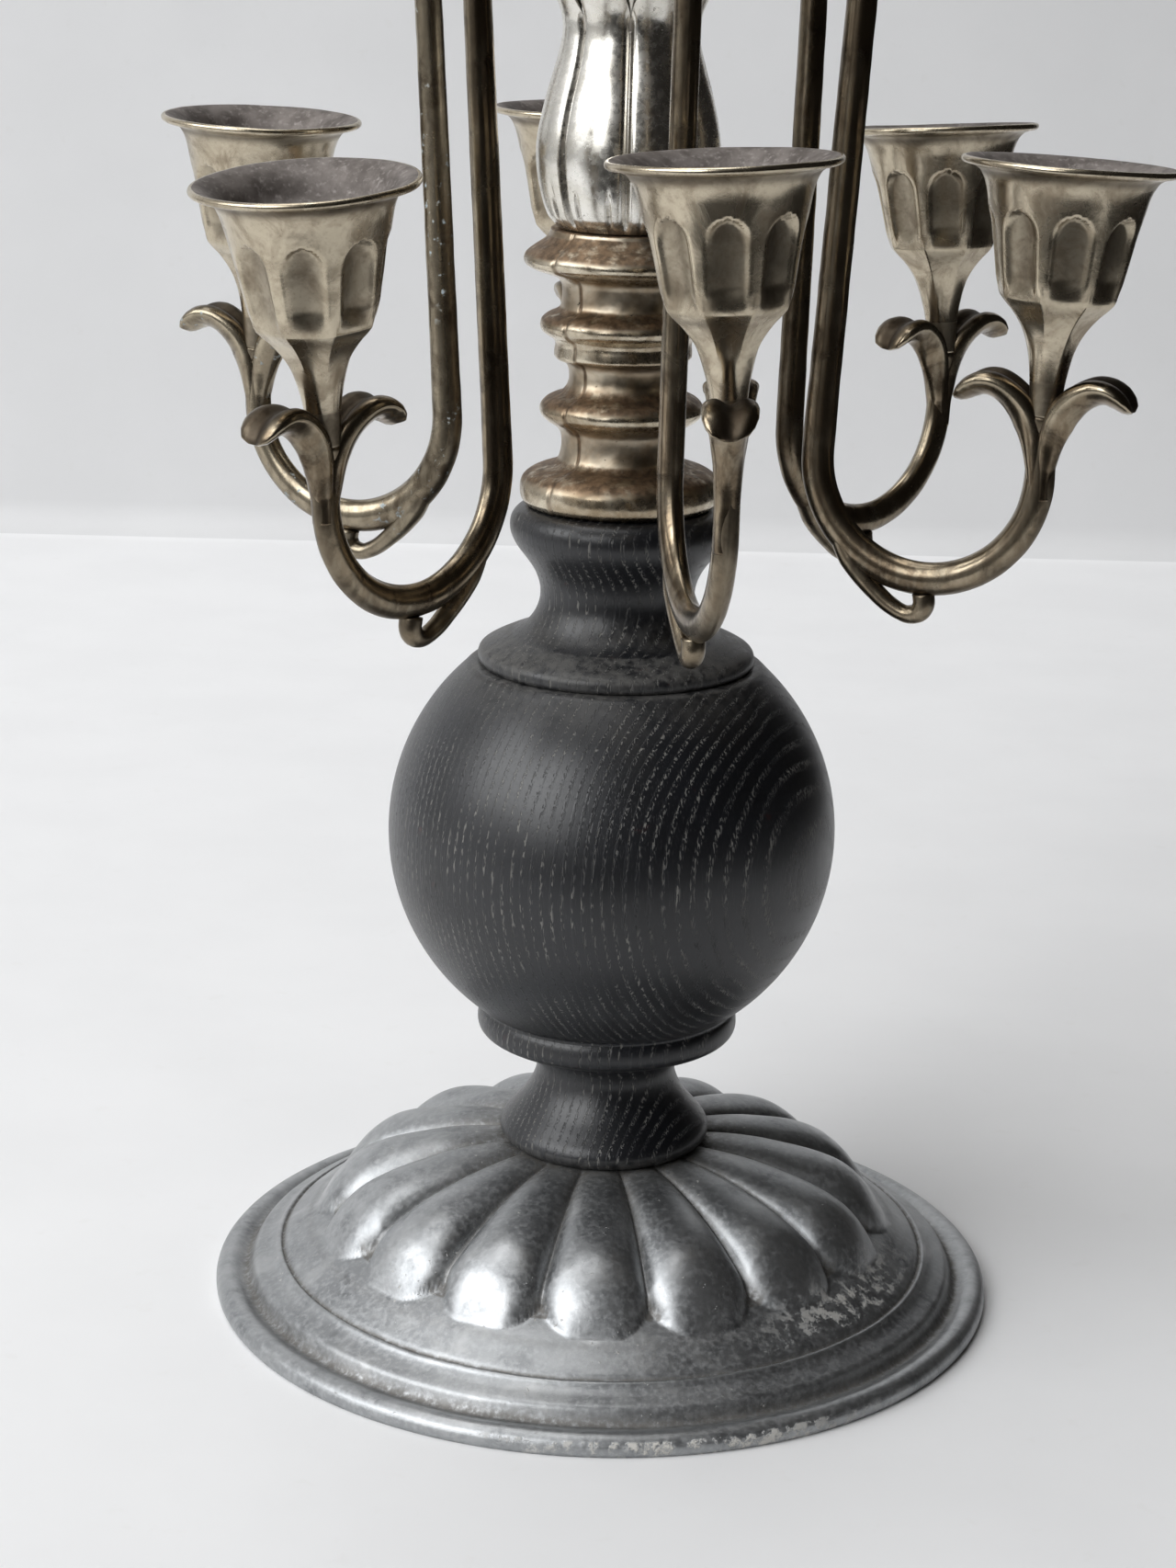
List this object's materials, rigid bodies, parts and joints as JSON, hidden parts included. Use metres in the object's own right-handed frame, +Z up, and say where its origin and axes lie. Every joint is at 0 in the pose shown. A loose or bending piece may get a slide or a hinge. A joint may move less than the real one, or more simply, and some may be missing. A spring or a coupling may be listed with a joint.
{
  "type": "menorah candelabra",
  "caption": "Candelabra with a gadrooned cast foot, turned black wooden post, ringed collar, tulip vase, swivelling hooked arms with leaf-held fluted candle cups, and a raised centre cup.",
  "frame": {"origin": "centre of the foot's resting plane, on the post's axis", "axes": "+Z up along the post, -Y towards the viewer of the front, +X to the viewer's right"},
  "size_m": [0.2151, 0.2251, 0.3975],
  "materials": {
    "cast_foot": "dull grey cast zinc with a mottled patina and rubbed high spots",
    "ebonised_oak": "black-stained open-grain oak, satin",
    "plated_collar": "worn plated casting with brown tarnish",
    "plated_vase": "bright worn plate with dark lines",
    "arm_metal": "dark tarnished silvered brass, rubbed bright on edges",
    "cup_metal": "tarnished silvered brass, dull brown-grey inside",
    "fixings": "plain zinc-plated steel"
  },
  "bodies": {
    "root": {"foot": "cast_foot", "foot_washer": "fixings", "foot_nut": "fixings", "tie_rod": "fixings", "turned_post": "ebonised_oak", "ring_collar": "plated_collar", "tulip_vase": "plated_vase", "arm_hub": "plated_collar", "centre_stem": "plated_collar", "centre_cup": "cup_metal", "centre_cup_screw": "fixings"},
    "swing_arm_1": {"arm_1": "arm_metal", "cup_1": "cup_metal", "cup_screw_1": "fixings"},
    "swing_arm_2": {"arm_2": "arm_metal", "cup_2": "cup_metal", "cup_screw_2": "fixings"},
    "swing_arm_3": {"arm_3": "arm_metal", "cup_3": "cup_metal", "cup_screw_3": "fixings"},
    "swing_arm_4": {"arm_4": "arm_metal", "cup_4": "cup_metal", "cup_screw_4": "fixings"},
    "swing_arm_5": {"arm_5": "arm_metal", "cup_5": "cup_metal", "cup_screw_5": "fixings"},
    "swing_arm_6": {"arm_6": "arm_metal", "cup_6": "cup_metal", "cup_screw_6": "fixings"}
  },
  "joints": [
    {"name": "arm_1_swivel", "type": "hinge", "parent": "root", "child": "swing_arm_1", "pos_m": [0.00319, -0.01568, 0.318], "axis": [0, 0, 1], "range_deg": [-12, 12]},
    {"name": "arm_2_swivel", "type": "hinge", "parent": "root", "child": "swing_arm_2", "pos_m": [0.01517, -0.00508, 0.318], "axis": [0, 0, 1], "range_deg": [-12, 12]},
    {"name": "arm_3_swivel", "type": "hinge", "parent": "root", "child": "swing_arm_3", "pos_m": [0.01198, 0.0106, 0.318], "axis": [0, 0, 1], "range_deg": [-12, 12]},
    {"name": "arm_4_swivel", "type": "hinge", "parent": "root", "child": "swing_arm_4", "pos_m": [-0.00319, 0.01568, 0.318], "axis": [0, 0, 1], "range_deg": [-12, 12]},
    {"name": "arm_5_swivel", "type": "hinge", "parent": "root", "child": "swing_arm_5", "pos_m": [-0.01517, 0.00508, 0.318], "axis": [0, 0, 1], "range_deg": [-12, 12]},
    {"name": "arm_6_swivel", "type": "hinge", "parent": "root", "child": "swing_arm_6", "pos_m": [-0.01198, -0.0106, 0.318], "axis": [0, 0, 1], "range_deg": [-12, 12]}
  ]
}
